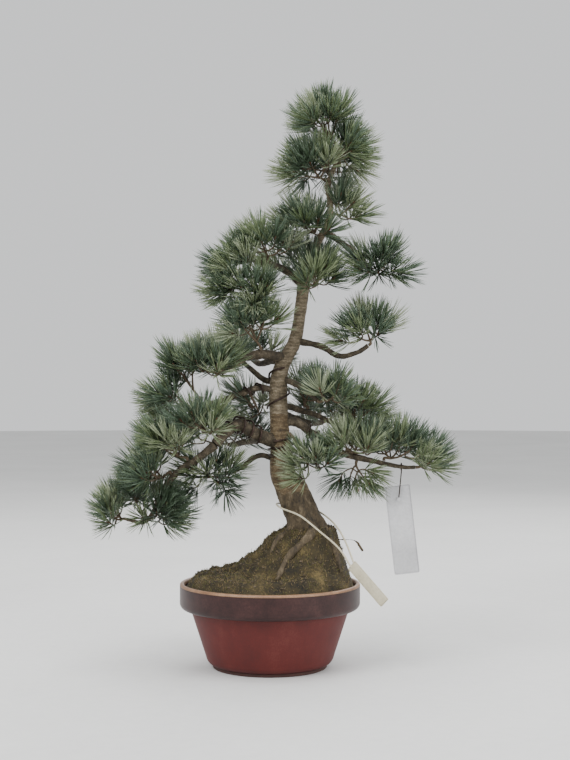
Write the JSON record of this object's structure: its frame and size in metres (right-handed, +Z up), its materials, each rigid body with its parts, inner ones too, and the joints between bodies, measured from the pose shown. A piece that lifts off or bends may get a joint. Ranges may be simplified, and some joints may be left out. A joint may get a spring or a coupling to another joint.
{
  "type": "potted japanese white pine bonsai",
  "caption": "Japanese white pine bonsai, informal upright, with a tapering curved trunk, boughs and needle tufts in a round glazed training pot.",
  "frame": {"origin": "centre of the pot's flat underside, at the level it stands on", "axes": "+Z up the tree, +X to the right of the front view, which looks along +Y"},
  "size_m": [0.4986, 0.2881, 0.7787],
  "materials": {
    "pot": "glazed dark brown band over a matte red-brown body",
    "soil": "rough, part covered in moss",
    "bark": "rough bark with level marks",
    "needles": "satin needles on brown twigs",
    "wire": "dark copper-brown anodised wire",
    "plate": "satin, blank",
    "label": "satin, blank"
  },
  "bodies": {
    "root": {"pot": "pot", "soil_mound": "soil", "trunk": "bark", "trunk_label": "label", "hang_tag": "plate", "tag_wire": "wire", "wire_left_bough": "wire", "wire_right_bough": "wire", "bough_left_upper": "bark", "bough_left_mid": "bark", "bough_left_cross": "bark", "bough_left_thin": "bark", "bough_left_low": "bark", "bough_left_outer": "bark", "bough_left_under": "bark", "bough_right_top": "bark", "bough_right_mid": "bark", "bough_right_inner": "bark", "bough_right_back": "bark", "bough_right_low": "bark", "bough_back_left": "bark", "bough_back_right": "bark", "bough_back_low": "bark", "needles_apex": "needles", "needles_apex_left": "needles", "needles_apex_right": "needles", "needles_apex_back": "needles", "needles_neck": "needles", "needles_shoulder": "needles", "needles_upper_left": "needles", "needles_upper_outer": "needles", "needles_upper_front": "needles", "needles_heart": "needles", "needles_fork": "needles", "needles_right_top": "needles", "needles_right_mid": "needles", "needles_left_mid": "needles", "needles_left_rear": "needles", "needles_left_rise": "needles", "needles_left_reach": "needles", "needles_low_front": "needles", "needles_low_left": "needles", "needles_low_outer": "needles", "needles_hanging": "needles", "needles_tip_left": "needles", "needles_tip_middle": "needles", "needles_tip_inner": "needles", "needles_behind_left": "needles", "needles_behind_right": "needles", "needles_right_inner": "needles", "needles_right_back": "needles", "needles_right_low": "needles", "needles_right_outer": "needles", "needles_right_tip": "needles", "needles_right_lowest": "needles", "needles_right_hanging": "needles", "needles_back_upper": "needles", "needles_back_left": "needles", "needles_back_right": "needles", "needles_back_low": "needles"}
  },
  "joints": []
}
